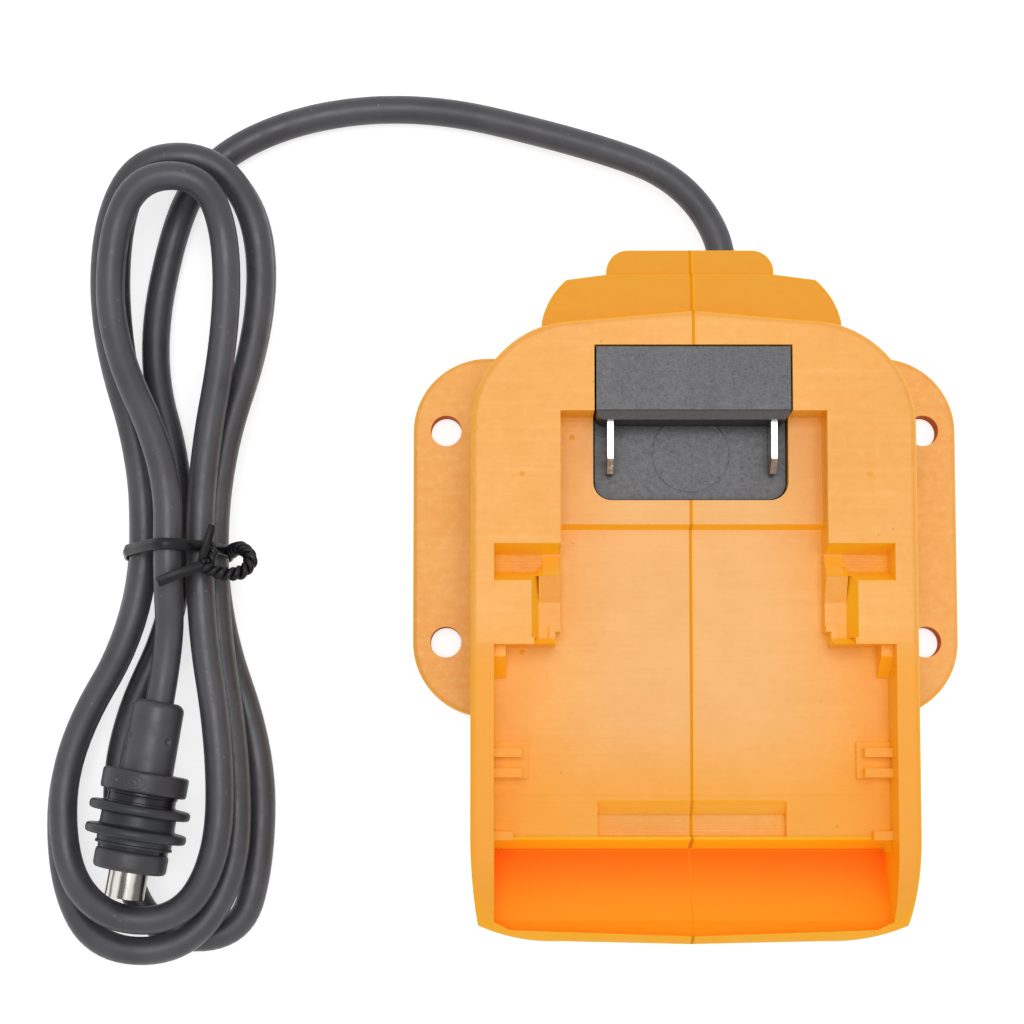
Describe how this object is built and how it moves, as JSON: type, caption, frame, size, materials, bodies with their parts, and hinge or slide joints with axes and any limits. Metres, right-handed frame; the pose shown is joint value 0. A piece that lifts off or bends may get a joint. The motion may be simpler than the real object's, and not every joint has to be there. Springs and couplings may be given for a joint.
{
  "type": "battery adapter cable",
  "caption": "Slide-on tool battery adapter: split housing with mounting flange, blade contacts and a tied two-core lead that ends in a sealed barrel plug.",
  "frame": {"origin": "middle of the four flange holes, on the back face of the flange", "axes": "+X across the housing, +Y towards the cord exit, +Z out of the back face towards the battery"},
  "size_m": [0.1706, 0.1646, 0.0253],
  "materials": {
    "shell": "finely textured orange moulding",
    "contact_block": "dark grey, matt",
    "contact_metal": "bright nickel plate",
    "red_core": "red core insulation",
    "black_core": "black core insulation",
    "screw_steel": "zinc plated",
    "grommet_rubber": "soft black rubber",
    "clamp_plastic": "black moulding",
    "cord_jacket": "mid grey jacket, satin",
    "tie_plastic": "near black",
    "plug_body": "dark grey over-moulding",
    "plug_seal": "dark grey rubber fins",
    "insulator_plastic": "black"
  },
  "bodies": {
    "root": {"left_housing": "shell", "right_housing": "shell", "terminal_block": "contact_block", "positive_blade": "contact_metal", "negative_blade": "contact_metal", "positive_wire": "red_core", "negative_wire": "black_core", "housing_screws": "screw_steel", "locating_pins": "screw_steel", "clamp_screws": "screw_steel", "cord_grommet": "grommet_rubber", "cord_clamp": "clamp_plastic", "cord_tail": "cord_jacket", "lead_cable": "cord_jacket", "cable_hank": "cord_jacket", "cable_tie": "tie_plastic", "plug_boot": "plug_body", "plug_core": "plug_body", "plug_seal_rear": "plug_seal", "plug_seal_front": "plug_seal", "plug_barrel": "contact_metal", "plug_insulator": "insulator_plastic", "plug_centre_contact": "contact_metal"}
  },
  "joints": []
}
